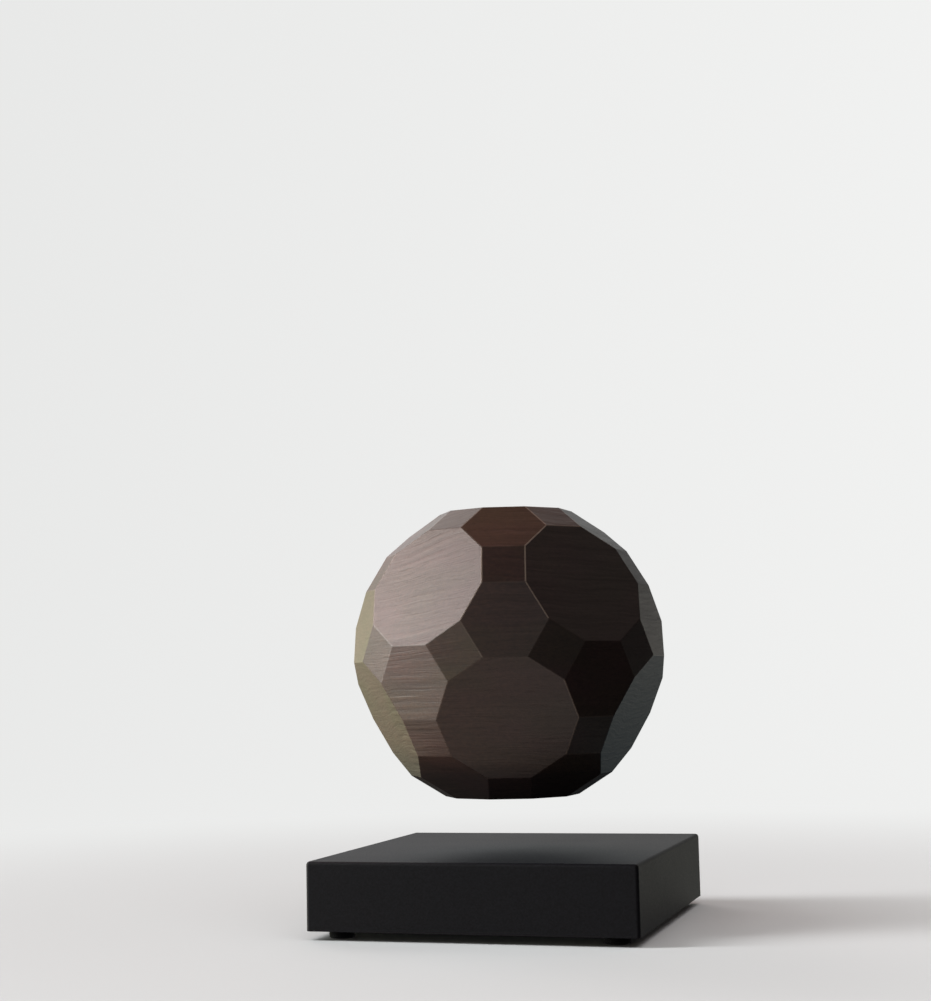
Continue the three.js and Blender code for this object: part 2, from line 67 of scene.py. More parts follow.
def make_camera():
    data = bpy.data.cameras.new("camera")
    data.lens = CAMERA_LENS
    data.sensor_width = CAMERA_SENSOR
    data.clip_start, data.clip_end = CAMERA_CLIP
    camera = bpy.data.objects.new("camera", data)
    bpy.context.scene.collection.objects.link(camera)
    looking_along_y = Matrix.Rotation(math.radians(90), 4, "X")
    camera.matrix_world = (
        Matrix.Translation(CAMERA_PLACE)
        @ Matrix.Rotation(CAMERA_TURN, 4, "Z")
        @ Matrix.Rotation(CAMERA_RISE, 4, "X")
        @ Matrix.Rotation(CAMERA_ROLL, 4, "Y")
        @ looking_along_y
    )
    bpy.context.scene.camera = camera


# ---------------------------------------------------------------- node helpers
class Shader:
    """A material's node tree, with short calls for the nodes this scene uses."""

    def __init__(self, name):
        self.material = bpy.data.materials.new(name)
        self.material.use_nodes = True
        self.tree = self.material.node_tree
        self.surface = self.tree.nodes["Principled BSDF"]

    def node(self, kind, **settings):
        made = self.tree.nodes.new(kind)
        for key, value in settings.items():
            setattr(made, key, value)
        return made

    def feed(self, socket, value):
        if isinstance(value, bpy.types.NodeSocket):
            self.tree.links.new(value, socket)
        elif value is not None:
            socket.default_value = value

    def place(self, scale=(1, 1, 1), offset=(0, 0, 0), source=None):
        """Coordinates fixed to the object, scaled."""
        mapping = self.node("ShaderNodeMapping")
        if source is None:
            source = self.node("ShaderNodeTexCoord").outputs["Object"]
        self.feed(mapping.inputs["Vector"], source)
        mapping.inputs["Scale"].default_value = scale
        mapping.inputs["Location"].default_value = offset
        return mapping.outputs["Vector"]

    def split(self, vector):
        parts = self.node("ShaderNodeSeparateXYZ")
        self.feed(parts.inputs[0], vector)
        return parts.outputs["X"], parts.outputs["Y"], parts.outputs["Z"]

    def join(self, *parts):
        whole = self.node("ShaderNodeCombineXYZ")
        for socket, part in zip(whole.inputs, parts):
            self.feed(socket, part)
        return whole.outputs[0]

    def noise(self, vector, scale=1.0, detail=2.0, roughness=0.5):
        made = self.node("ShaderNodeTexNoise")
        self.feed(made.inputs["Vector"], vector)
        made.inputs["Scale"].default_value = scale
        made.inputs["Detail"].default_value = detail
        made.inputs["Roughness"].default_value = roughness
        return made.outputs["Fac"]

    def maths(self, operation, a, b=None, c=None):
        made = self.node("ShaderNodeMath", operation=operation)
        self.feed(made.inputs[0], a)
        self.feed(made.inputs[1], b)
        self.feed(made.inputs[2], c)
        return made.outputs[0]

    def times(self, a, b):
        return self.maths("MULTIPLY", a, b)

    def sway(self, noise, amount):
        """A noise turned into a swing about nought, from -amount / 2 to amount / 2."""
        return self.times(self.maths("SUBTRACT", noise, 0.5), amount)

    def spread(self, value, low, high, to_low=0.0, to_high=1.0):
        """Maps low..high to to_low..to_high, clamped."""
        made = self.node("ShaderNodeMapRange")
        self.feed(made.inputs["Value"], value)
        for key, number in (
            ("From Min", low),
            ("From Max", high),
            ("To Min", to_low),
            ("To Max", to_high),
        ):
            made.inputs[key].default_value = number
        return made.outputs["Result"]

    def mix(self, amount, first, second, blend="MIX"):
        made = self.node("ShaderNodeMix", data_type="RGBA", blend_type=blend)
        self.feed(made.inputs[0], amount)
        for socket, colour in ((made.inputs[6], first), (made.inputs[7], second)):
            self.feed(socket, colour if isinstance(colour, bpy.types.NodeSocket) else (*colour, 1))
        return made.outputs[2]

    def tint(self, colour, by):
        return self.mix(1.0, colour, by, "MULTIPLY")

    def bump(self, height, distance, strength=1.0, under=None):
        made = self.node("ShaderNodeBump")
        self.feed(made.inputs["Height"], height)
        self.feed(made.inputs["Normal"], under)
        made.inputs["Distance"].default_value = distance
        made.inputs["Strength"].default_value = strength
        return made.outputs["Normal"]

    def finish(self, colour, roughness, metallic=0.0, normal=None, **plain):
        """Sets the surface's main sockets. plain holds others, with _ for the spaces in their names."""
        self.feed(self.surface.inputs["Base Color"], colour)
        self.feed(self.surface.inputs["Roughness"], roughness)
        self.surface.inputs["Metallic"].default_value = metallic
        self.feed(self.surface.inputs["Normal"], normal)
        for key, value in plain.items():
            self.surface.inputs[key.replace("_", " ")].default_value = value
        return self.material


# ---------------------------------------------------------------- walnut
# Noise scales are in features per metre, one number for all directions or one each along X, Y and Z.
WAVE_SCALE, WAVE_HEIGHT = 17.0, 12 * MM
RIPPLE_SCALE, RIPPLE_FLATTENED, RIPPLE_HEIGHT = 80.0, (1, 1, 2), 1.6 * MM
FAN_HEIGHTS, FAN_SLOPES = (98 * MM, 138 * MM), (0.02, 0.20)
LAYER_SCALE = (20, 34, 600)
FIBRE_SCALE = (40, 90, 1150)
PORE_SCALE, PORE_EDGE = (60, 700, 1500), (0.58, 0.76)
FIGURE_SCALE, FIGURE_OFFSET, FIGURE_REACH = (24, 30, 50), (0.3, 0.1, 0.7), (0.38, 0.62)
MOTTLE_SCALE, MOTTLE_FLATTENED, MOTTLE_REACH = 620.0, (1, 1, 1.4), (0.33, 0.67)

# Where the growth layers show as streaks: strongly on the left, faintly beyond and in the middle, and again
# high on the right.
STREAKS_BEGIN, STREAKS_FAR_LEFT = (-38 * MM, -28 * MM), 0.15
STREAKS_FADE, STREAKS_MIDDLE = (-18 * MM, -6 * MM), 0.2
STREAKS_SOFTEN, STREAKS_HIGH = (104 * MM, 114 * MM), 0.55
STREAKS_RETURN, STREAKS_HIGH_RIGHT = (4 * MM, 14 * MM), 0.7

WALNUT_DARK = (0.040, 0.0225, 0.0165)
WALNUT_LIGHT = (0.076, 0.0450, 0.0330)
WALNUT_PORE, PORES_SHOW = (0.016, 0.0095, 0.0070), 0.22
# Painted highlight: the lighter colour laid on the eased edges where light glints off them.
WALNUT_EDGE_HIGHLIGHT, EDGE_HIGHLIGHT_SHOWS = (0.32, 0.26, 0.22), 0.85
BLUSH = ((0.92, 1.03, 0.88), (1.10, 0.96, 1.07))
MOTTLE = ((0.84, 0.86, 0.90), (1.17, 1.15, 1.09))
# Painted shade: a darker, bluer tint laid over the wood towards the right and low down on the ball.
SHADE_TINT = (0.34, 0.43, 0.54)
SHADE_ACROSS = (-35 * MM, 40 * MM)
SHADE_UP = (58 * MM, 71 * MM)

FIBRES_IN_TONE, STREAKS_IN_TONE = 0.34, 0.95
TONES = (0.30, 0.70)
WALNUT_ROUGH = (0.44, 0.38)  # of the darkest and the lightest tone
PORES_ROUGHER, EDGE_HIGHLIGHT_SMOOTHER = 0.06, 0.06
STREAK_RELIEF = 0.20 * MM
FIBRE_RELIEF = 0.07 * MM
PORES_DEEPER = 0.15


def walnut():
    """Dark satin walnut, all from one block. Its fibres run along X and its growth layers lie level and fan out
    a little to the left. Painted shade darkens it low down and on the right, and its eased edges are glossier
    and carry a painted highlight in a lighter colour."""
    s = Shader("walnut")
    x, y, z = s.split(s.place())
    wave = s.noise(s.place(), scale=WAVE_SCALE)
    ripple = s.noise(s.place(RIPPLE_FLATTENED), scale=RIPPLE_SCALE, detail=1.0)
    lift = s.maths("ADD", s.sway(wave, WAVE_HEIGHT), s.sway(ripple, RIPPLE_HEIGHT))
    fan = s.times(s.maths("MINIMUM", x, 0.0), s.spread(z, *FAN_HEIGHTS, *FAN_SLOPES))
    block = s.join(x, y, s.maths("ADD", s.maths("SUBTRACT", z, fan), lift))

    layers = s.noise(s.place(LAYER_SCALE, source=block), detail=1.5)
    fibres = s.noise(s.place(FIBRE_SCALE, source=block), roughness=0.6)
    pores = s.spread(s.noise(s.place(PORE_SCALE, source=block), detail=1.0), *PORE_EDGE)
    figure = s.noise(s.place(FIGURE_SCALE, offset=FIGURE_OFFSET))
    mottle = s.noise(s.place(MOTTLE_FLATTENED), scale=MOTTLE_SCALE, roughness=0.6)

    on_left = s.times(s.spread(x, *STREAKS_BEGIN, STREAKS_FAR_LEFT, 1.0),
                      s.spread(x, *STREAKS_FADE, 1.0, STREAKS_MIDDLE))
    on_left = s.times(on_left, s.spread(z, *STREAKS_SOFTEN, 1.0, STREAKS_HIGH))
    on_right = s.times(s.spread(x, *STREAKS_RETURN, 0.0, STREAKS_HIGH_RIGHT), s.spread(z, *STREAKS_SOFTEN))
    streaks = s.sway(layers, s.maths("ADD", on_left, on_right))

    base_tone = s.maths("MULTIPLY_ADD", streaks, STREAKS_IN_TONE, 0.5)
    tone = s.spread(s.maths("ADD", s.sway(fibres, FIBRES_IN_TONE), base_tone), *TONES)
    colour = s.mix(tone, WALNUT_DARK, WALNUT_LIGHT)
    colour = s.tint(colour, s.mix(s.spread(figure, *FIGURE_REACH), *BLUSH))
    colour = s.tint(colour, s.mix(s.spread(mottle, *MOTTLE_REACH), *MOTTLE))
    # Painted shade: the wood is tinted darker and bluer towards the right and low down.
    painted_shade = s.maths("MAXIMUM", s.spread(x, *SHADE_ACROSS), s.spread(z, *SHADE_UP, 1.0, 0.0))
    colour = s.mix(painted_shade, colour, s.tint(colour, SHADE_TINT))
    colour = s.mix(s.times(pores, PORES_SHOW), colour, WALNUT_PORE)
    # A painted highlight along the eased edges: a lighter colour, with lower roughness there as well.
    edge_highlight = s.node("ShaderNodeAttribute", attribute_name="painted_edge_highlight").outputs["Fac"]
    colour = s.mix(s.times(edge_highlight, EDGE_HIGHLIGHT_SHOWS), colour, WALNUT_EDGE_HIGHLIGHT)

    rough = s.maths("ADD", s.spread(tone, 0, 1, *WALNUT_ROUGH), s.times(pores, PORES_ROUGHER))
    rough = s.maths("SUBTRACT", rough, s.times(edge_highlight, EDGE_HIGHLIGHT_SMOOTHER))
    swell = s.bump(streaks, STREAK_RELIEF)
    relief = s.maths("SUBTRACT", fibres, s.times(pores, PORES_DEEPER))
    return s.finish(colour, rough, normal=s.bump(relief, FIBRE_RELIEF, under=swell))


# ---------------------------------------------------------------- other materials
# Most of a noise's values lie in these.
NOISE_CORE = (0.35, 0.65)
NOISE_REACH = (0.30, 0.70)
BLACK_LIGHTER = 1.6  # how much lighter the tops of the moulded texture are
METAL_DULLER = 0.82
WIRE = 0.4 * MM


def satin_black(name, tone, rough, grain, specular=0.3):
    """Black moulded plastic with a fine spark-eroded texture."""
    s = Shader(name)
    fine = s.noise(s.place(), scale=grain, roughness=0.6)
    cloud = s.noise(s.place(), scale=22.0, detail=3.0)
    light = tuple(BLACK_LIGHTER * value for value in tone)
    colour = s.mix(s.spread(fine, *NOISE_CORE), tone, light)
    roughness = s.maths("ADD", s.spread(fine, *NOISE_REACH, rough - 0.04, rough + 0.05),
                        s.spread(cloud, *NOISE_REACH, -0.015, 0.02))
    return s.finish(colour, roughness, normal=s.bump(fine, 0.045 * MM, 0.7), Specular_IOR_Level=specular)


def rubber():
    s = Shader("rubber")
    fine = s.noise(s.place(), scale=2600.0)
    colour = s.mix(fine, (0.0022, 0.0022, 0.0026), (0.0052, 0.0052, 0.0058))
    return s.finish(colour, s.spread(fine, *NOISE_REACH, 0.70, 0.84), normal=s.bump(fine, 0.05 * MM, 0.5),
                    Specular_IOR_Level=0.1)


def metal(name, colour, rough, scratch=(1, 1, 1)):
    """A metal with fine scratches, drawn out along the direction where scratch is small."""
    s = Shader(name)
    marks = s.noise(s.place(scratch), scale=900.0, detail=3.0)
    dull = tuple(METAL_DULLER * value for value in colour)
    tone = s.mix(s.spread(marks, *NOISE_REACH), dull, colour)
    return s.finish(tone, s.spread(marks, *NOISE_REACH, rough - 0.06, rough + 0.1), 1.0,
                    s.bump(marks, 0.01 * MM, 0.4))


def copper_winding():
    """Enamelled copper wire laid in turns about an upright coil."""
    s = Shader("copper_winding")
    height = s.split(s.place())[2]
    turns = s.maths("ABSOLUTE", s.maths("SINE", s.times(height, math.pi / WIRE)))
    tint = s.noise(s.place(), scale=300.0)
    # Darker between the turns and lighter on their crowns: painted shade in the grooves and a painted highlight on
    # the crowns.
    colour = s.mix(turns, (0.30, 0.075, 0.025), (0.72, 0.27, 0.10))
    colour = s.mix(s.times(tint, 0.4), colour, (0.45, 0.14, 0.05))
    return s.finish(colour, 0.28, 0.85, s.bump(turns, 0.12 * MM))


def circuit_board():
    """Green solder mask over a fibre weave, with slightly raised tracks."""
    s = Shader("circuit_board")
    bricks = s.node("ShaderNodeTexBrick", offset=0.5, squash=1.0)
    s.feed(bricks.inputs["Vector"], s.place((1000, 1000, 1000)))
    bricks.inputs["Scale"].default_value = 0.45
    bricks.inputs["Mortar Size"].default_value = 0.06
    tracks = bricks.outputs["Fac"]
    weave = s.noise(s.place((900, 2600, 900)), detail=1.0)
    mask = s.mix(s.spread(weave, *NOISE_CORE), (0.010, 0.075, 0.026), (0.016, 0.105, 0.038))
    colour = s.mix(tracks, mask, (0.045, 0.21, 0.075))
    return s.finish(colour, s.spread(weave, *NOISE_REACH, 0.26, 0.36), normal=s.bump(tracks, 0.05 * MM))


def speckled(name, dark, light, rough, grain=1200.0):
    """A fine-grained solid, such as ferrite or moulding compound."""
    s = Shader(name)
    grains = s.noise(s.place(), scale=grain, detail=3.0, roughness=0.65)
    colour = s.mix(s.spread(grains, *NOISE_CORE), dark, light)
    return s.finish(colour, s.spread(grains, *NOISE_REACH, rough - 0.06, rough + 0.08),
                    normal=s.bump(grains, 0.03 * MM, 0.5))


def make_materials():
    """One material for each of the record's slots."""
    return {
        "walnut": walnut(),
        "top_cover": satin_black("top_cover", (0.0056, 0.0060, 0.0086), 0.50, 1500.0, specular=0.15),
        "bottom_plate": satin_black("bottom_plate", (0.008, 0.008, 0.009), 0.55, 1500.0),
        "dark_moulding": satin_black("dark_moulding", (0.010, 0.010, 0.011), 0.50, 1500.0),
        "inlet_body": satin_black("inlet_body", (0.006, 0.006, 0.007), 0.38, 2000.0),
        "rubber_feet": rubber(),
        "screws": metal("screws", (0.46, 0.47, 0.49), 0.32),
        "inlet_pin": metal("inlet_pin", (0.80, 0.58, 0.28), 0.22, (1, 0.1, 1)),
        "nickel_plating": metal("nickel_plating", (0.66, 0.63, 0.58), 0.20),
        "soft_steel": metal("soft_steel", (0.42, 0.42, 0.43), 0.38, (0.1, 1, 1)),
        "capacitor_can": metal("capacitor_can", (0.64, 0.65, 0.67), 0.27, (1, 1, 0.1)),
        "copper_winding": copper_winding(),
        "circuit_board": circuit_board(),
        "ferrite": speckled("ferrite", (0.040, 0.040, 0.043), (0.075, 0.075, 0.080), 0.62),
        "nylon_bobbin": speckled("nylon_bobbin", (0.60, 0.58, 0.52), (0.72, 0.70, 0.63), 0.42, 300.0),
        "chip_package": speckled("chip_package", (0.008, 0.008, 0.009), (0.018, 0.018, 0.019), 0.50, 3500.0),
    }


MATERIALS = make_materials()
for entry in frame["record"]["subparts"]:
    carried = NODES[entry["node"]]
    carried.data.materials.clear()
    carried.data.materials.append(MATERIALS[entry["material_slot"]])


# ---------------------------------------------------------------- mesh helpers
TINY = 1e-9
MERGE = 0.002 * MM
NEARLY_LEVEL = math.radians(0.2)
SHARP = math.radians(35)
ROUND_SEGMENTS = 96


def add_piece(name, mesh, slot, body, *nodes):
    """A finished mesh that stands for CAD nodes and moves with a body."""
    mesh.name = name
    piece = bpy.data.objects.new(name, mesh)
    bpy.context.scene.collection.objects.link(piece)
    mesh.materials.clear()
    mesh.materials.append(MATERIALS[slot])
    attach(piece, body)
    if nodes:
        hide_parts(*nodes)
    return piece


def to_mesh(bm, name):
    mesh = bpy.data.meshes.new(name)
    bm.to_mesh(mesh)
    bm.free()
    return mesh


def apply_boolean(first, second, operation):
    """first combined with second, as a new mesh. Both are meshes in the shared frame."""
    base = bpy.data.objects.new("boolean_base", first)
    tool = bpy.data.objects.new("boolean_tool", second)
    for item in (base, tool):
        bpy.context.scene.collection.objects.link(item)
    modifier = base.modifiers.new("boolean", "BOOLEAN")
    modifier.operation = operation
    modifier.solver = "EXACT"
    modifier.object = tool
    depsgraph = bpy.context.evaluated_depsgraph_get()
    result = bpy.data.meshes.new_from_object(base.evaluated_get(depsgraph))
    for item in (base, tool):
        bpy.data.objects.remove(item)
    return result


def clean(mesh):
    """Joins doubled points and flat neighbours left over from a cut."""
    bm = bmesh.new()
    bm.from_mesh(mesh)
    bmesh.ops.remove_doubles(bm, verts=bm.verts, dist=MERGE)
    bmesh.ops.dissolve_degenerate(bm, edges=bm.edges, dist=MERGE)
    bmesh.ops.dissolve_limit(bm, angle_limit=NEARLY_LEVEL, verts=bm.verts, edges=bm.edges)
    bmesh.ops.recalc_face_normals(bm, faces=bm.faces)
    bm.to_mesh(mesh)
    bm.free()
    return mesh


def shade(piece, sharp=SHARP):
    """Smooth across soft edges, sharp across hard ones, with flat faces kept flat."""
    for polygon in piece.data.polygons:
        polygon.use_smooth = True
    piece.data.set_sharp_from_angle(angle=sharp)
    weighted = piece.modifiers.new("flat faces stay flat", "WEIGHTED_NORMAL")
    weighted.keep_sharp = True
    weighted.weight = 100
    return piece


def box_mesh(name, low, high):
    bm = bmesh.new()
    bmesh.ops.create_cube(bm, size=1)
    low, high = Vector(low), Vector(high)
    bmesh.ops.scale(bm, vec=high - low, verts=bm.verts)
    bmesh.ops.translate(bm, vec=(low + high) / 2, verts=bm.verts)
    return to_mesh(bm, name)


def turned_mesh(name, profile, segments=ROUND_SEGMENTS, centre=(0, 0, 0)):
    """A body of revolution about an upright axis. profile is [(radius, height), ...] and starts and ends on
    the axis or closes on itself."""
    bm = bmesh.new()
    rings = []
    for radius, height in profile:
        if radius < TINY:
            rings.append([bm.verts.new((0, 0, height))])
            continue
        ring = []
        for i in range(segments):
            angle = 2 * math.pi * i / segments
            ring.append(bm.verts.new((radius * math.cos(angle), radius * math.sin(angle), height)))
        rings.append(ring)
    closed = profile[0][0] > TINY
    for lower, upper in zip(rings, rings[1:] + rings[:1] if closed else rings[1:]):
        for i in range(segments):
            j = (i + 1) % segments
            if len(lower) == 1:
                corners = (lower[0], upper[j], upper[i])
            elif len(upper) == 1:
                corners = (lower[i], lower[j], upper[0])
            else:
                corners = (lower[i], lower[j], upper[j], upper[i])
            bm.faces.new(corners)
    bmesh.ops.translate(bm, vec=Vector(centre), verts=bm.verts)
    bmesh.ops.recalc_face_normals(bm, faces=bm.faces)
    return to_mesh(bm, name)


def arc(centre, radius, start, end, steps):
    """Points on an arc of a profile, from start to end in degrees."""
    points = []
    for i in range(steps + 1):
        angle = math.radians(start + (end - start) * i / steps)
        points.append((centre[0] + radius * math.cos(angle), centre[1] + radius * math.sin(angle)))
    return points


# ---------------------------------------------------------------- ball
BALL_EDGE = 0.30 * MM
BALL_SHARP = math.radians(50)
SEAM = 0.02 * MM
CAVITY_RADIUS = 49 * MM
CAVITY_FLOOR = -38 * MM  # from the ball's centre
POCKET_RADIUS = 22.9 * MM
POCKET_RIM = 0.4 * MM
UNDER_MAGNET = 0.3 * MM
PILOT_RADIUS = 1.4 * MM
PILOT_DEPTH = 8 * MM
TONGUE_INNER, TONGUE_OUTER, TONGUE_HEIGHT = 52.2 * MM, 54.8 * MM, 2.5 * MM
TONGUE_PLAY = 0.3 * MM
TONGUE_EASE = 0.3 * MM
PAST = MM  # how far a cutter or a joined solid runs past a face
SAME_FACET = math.radians(1)


def ball_pieces():
    """Both shells, cut from one faceted ball whose edges are lightly eased."""
    shells = {"ball_upper_shell": 1, "ball_lower_shell": -1}
    points = [v.co - BALL_CENTRE for name in shells for v in NODES[name].data.vertices]
    corner_radius = max(p.length for p in points)
    corners = []
    for p in points:
        if p.length > corner_radius - 0.01 * MM and all((p - q).length > MM for q in corners):
            corners.append(p)

    bm = bmesh.new()
    for corner in corners:
        bm.verts.new(corner + BALL_CENTRE)
    bmesh.ops.convex_hull(bm, input=bm.verts)
    bmesh.ops.dissolve_limit(bm, angle_limit=SAME_FACET, verts=bm.verts, edges=bm.edges)
    bmesh.ops.recalc_face_normals(bm, faces=bm.faces)
    facets = [face.normal.copy() for face in bm.faces]
    bmesh.ops.bevel(bm, geom=bm.edges[:], offset=BALL_EDGE, offset_type="OFFSET", segments=3, profile=0.5,
                    affect="EDGES", clamp_overlap=True)
    bmesh.ops.recalc_face_normals(bm, faces=bm.faces)
    whole = to_mesh(bm, "whole_ball")

    reach = Vector((1.1 * corner_radius,) * 3)
    for name, side in shells.items():
        low, high = BALL_CENTRE - reach, BALL_CENTRE + reach
        if side > 0:
            low.z = BALL_CENTRE.z + SEAM / 2
        else:
            high.z = BALL_CENTRE.z - SEAM / 2
        half = apply_boolean(whole.copy(), box_mesh("half_space", low, high), "INTERSECT")
        if side > 0:
            shell = apply_boolean(half, upper_hollow(), "DIFFERENCE")
        else:
            shell = apply_boolean(half, lower_hollow(), "DIFFERENCE")
            shell = apply_boolean(shell, tongue(), "UNION")
            shell = apply_boolean(shell, pilot_holes(), "DIFFERENCE")
        piece = shade(add_piece(f"{name}_fine", clean(shell), "walnut", "ball", name), BALL_SHARP)
        mark_edges(piece.data, facets)


def upper_hollow():
    """The upper half of the round cavity, with the groove that the tongue goes into."""
    profile = arc((0, 0), CAVITY_RADIUS, 90, 0, 24)
    profile[0] = (0.0, CAVITY_RADIUS)
    profile += [(CAVITY_RADIUS, -PAST), (0.0, -PAST)]
    cavity = turned_mesh("cavity", profile, centre=BALL_CENTRE)
    groove_top = TONGUE_HEIGHT + TONGUE_PLAY
    groove = turned_mesh("groove", [
        (TONGUE_INNER - TONGUE_PLAY, -PAST),
        (TONGUE_OUTER + TONGUE_PLAY, -PAST),
        (TONGUE_OUTER + TONGUE_PLAY, groove_top),
        (TONGUE_INNER - TONGUE_PLAY, groove_top),
    ], centre=BALL_CENTRE)
    return apply_boolean(cavity, groove, "UNION")


def lower_hollow():
    """The lower half of the cavity, down to its flat floor, with the magnet's pocket."""
    floor_angle = -math.degrees(math.asin(CAVITY_FLOOR / -CAVITY_RADIUS))
    pocket_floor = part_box("floating_magnet")[0].z - BALL_CENTRE.z - UNDER_MAGNET
    profile = [(0.0, PAST), (CAVITY_RADIUS, PAST)]
    profile += arc((0, 0), CAVITY_RADIUS, 0, floor_angle, 20)
    profile += [(POCKET_RADIUS + POCKET_RIM, CAVITY_FLOOR), (POCKET_RADIUS, CAVITY_FLOOR - POCKET_RIM)]
    profile += [(POCKET_RADIUS, pocket_floor), (0.0, pocket_floor)]
    return turned_mesh("cavity", profile, centre=BALL_CENTRE)


def pilot_holes():
    """The three holes in the cavity floor that the magnet retainer's screws bite into."""
    top = BALL_CENTRE.z + CAVITY_FLOOR
    bottom = top - PILOT_DEPTH
    bm = bmesh.new()
    for i in (1, 2, 3):
        low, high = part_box(f"retainer_screw_{i}")
        middle = (low + high) / 2
        profile = [(0.0, bottom), (PILOT_RADIUS, bottom), (PILOT_RADIUS, top + PAST), (0.0, top + PAST)]
        bm.from_mesh(turned_mesh("pilot", profile, 24, (middle.x, middle.y, 0)))
    return to_mesh(bm, "pilot_holes")


def tongue():
    return turned_mesh("tongue", [
        (TONGUE_INNER, -PAST),
        (TONGUE_OUTER, -PAST),
        (TONGUE_OUTER, TONGUE_HEIGHT - TONGUE_EASE),
        (TONGUE_OUTER - TONGUE_EASE, TONGUE_HEIGHT),
        (TONGUE_INNER + TONGUE_EASE, TONGUE_HEIGHT),
        (TONGUE_INNER, TONGUE_HEIGHT - TONGUE_EASE),
    ], centre=BALL_CENTRE)


# Each pair is where the painted edge highlight begins to grow and where it stops growing, from the ball's centre.
# LEFT_SHARE is what is left of it on the left, and LOW_SHARE what it reaches in the lower half.
HIGHLIGHT_LEFT = (0.0, 10 * MM)
HIGHLIGHT_RIGHT = (46 * MM, 36 * MM)
HIGHLIGHT_LOW = (-42 * MM, -30 * MM)
HIGHLIGHT_HIGH = (11 * MM, 18 * MM)
LEFT_SHARE = 0.25
LOW_SHARE = 0.35
# The same for how far the edges are spared among the nearly black facets at mid height on the right.
SPARED_RIGHT = (16 * MM, 24 * MM)
SPARED_OVER = (-12 * MM, -6 * MM)
SPARED_UNDER = (17 * MM, 12 * MM)
SPARING = 0.85


def fade(value, none, full):
    """0 at none, 1 at full, and a straight run between."""
    return min(1.0, max(0.0, (value - none) / (full - none)))


def mark_edges(mesh, facets):
    """Marks how much painted highlight each eased strip between facets carries, a lighter colour that stands
    for light glinting off it: most where it crosses the fibres high up, less on the left, and hardly at all
    low down, on the far right and among the nearly black facets at mid height on the right."""
    mark = mesh.attributes.new("painted_edge_highlight", "FLOAT", "FACE")
    for polygon in mesh.polygons:
        spot = polygon.center - BALL_CENTRE
        outside = spot.length > TONGUE_OUTER + MM and polygon.normal.dot(spot) > 0.8 * spot.length
        on_facet = max(polygon.normal.dot(facet) for facet in facets) > math.cos(SAME_FACET)
        if on_facet or not outside:
            continue
        ends = max(((mesh.vertices[a].co, mesh.vertices[b].co) for a, b in polygon.edge_keys),
                   key=lambda pair: (pair[0] - pair[1]).length)
        along = (ends[0] - ends[1]).normalized()
        crossing = 1 - along.x ** 2
        height = LOW_SHARE * fade(spot.z, *HIGHLIGHT_LOW) + (1 - LOW_SHARE) * fade(spot.z, *HIGHLIGHT_HIGH)
        left = LEFT_SHARE + (1 - LEFT_SHARE) * fade(spot.x, *HIGHLIGHT_LEFT)
        spared = fade(spot.x, *SPARED_RIGHT) * fade(spot.z, *SPARED_OVER) * fade(spot.z, *SPARED_UNDER)
        edge_highlight = crossing * height * fade(spot.x, *HIGHLIGHT_RIGHT) * left
        mark.data[polygon.index].value = edge_highlight * (1 - SPARING * spared)


# ---------------------------------------------------------------- base
COVER_ROUND = 1.35 * MM
BELOW_COVER = 10 * MM  # how far the rounded block runs below the cover before it is cut
FOOT_RIM = 0.75 * MM
FOOT_DRAFT = 0.15 * MM
FOOT_TOP_EASE = (0.1 * MM, 0.3 * MM)
FOOT_RING = 0.55  # of the foot's radius
FOOT_RING_ROUND = 0.45 * MM
FOOT_RING_WIDTH = 1.0 * MM
FOOT_RING_DEPTH = 0.25 * MM


def cover_piece():
    """The top cover with its top and upright edges rounded."""
    low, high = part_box("top_cover")
    below = Vector((0, 0, BELOW_COVER))
    bm = bmesh.new()
    bm.from_mesh(box_mesh("cover_block", low - below, high))
    soft = [e for e in bm.edges if max(v.co.z for v in e.verts) > high.z - MM]
    bmesh.ops.bevel(bm, geom=soft, offset=COVER_ROUND, offset_type="OFFSET", segments=8, profile=0.5,
                    affect="EDGES")
    rounded = to_mesh(bm, "rounded_cover")
    inside = bpy.data.meshes.new_from_object(NODES["top_cover"])
    mesh = apply_boolean(rounded, inside, "INTERSECT")
    shade(add_piece("top_cover_fine", clean(mesh), "top_cover", "base", "top_cover"))


def foot_pieces():
    """Moulded rubber bumpers: a drafted side, a rounded lower rim and a shallow ring underneath."""
    for place in ("front_left", "front_right", "rear_right", "rear_left"):
        node = f"foot_{place}"
        low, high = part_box(node)
        radius = (high.x - low.x) / 2
        height = high.z - low.z
        ring = FOOT_RING * radius
        profile = [(0.0, 0.0), (ring - FOOT_RING_WIDTH / 2, 0.0)]
        for r, z in arc((ring, 0.0), FOOT_RING_ROUND, 180, 0, 6)[1:-1]:
            profile.append((r, min(z, FOOT_RING_DEPTH)))
        profile += [(ring + FOOT_RING_WIDTH / 2, 0.0)]
        profile += arc((radius - FOOT_DRAFT - FOOT_RIM, FOOT_RIM), FOOT_RIM, -90, 0, 8)
        profile += [(radius, height - FOOT_TOP_EASE[1]), (radius - FOOT_TOP_EASE[0], height), (0.0, height)]
        middle = ((low.x + high.x) / 2, (low.y + high.y) / 2, low.z)
        mesh = turned_mesh(node, profile, 72, middle)
        shade(add_piece(f"{node}_fine", mesh, "rubber_feet", "base", node))


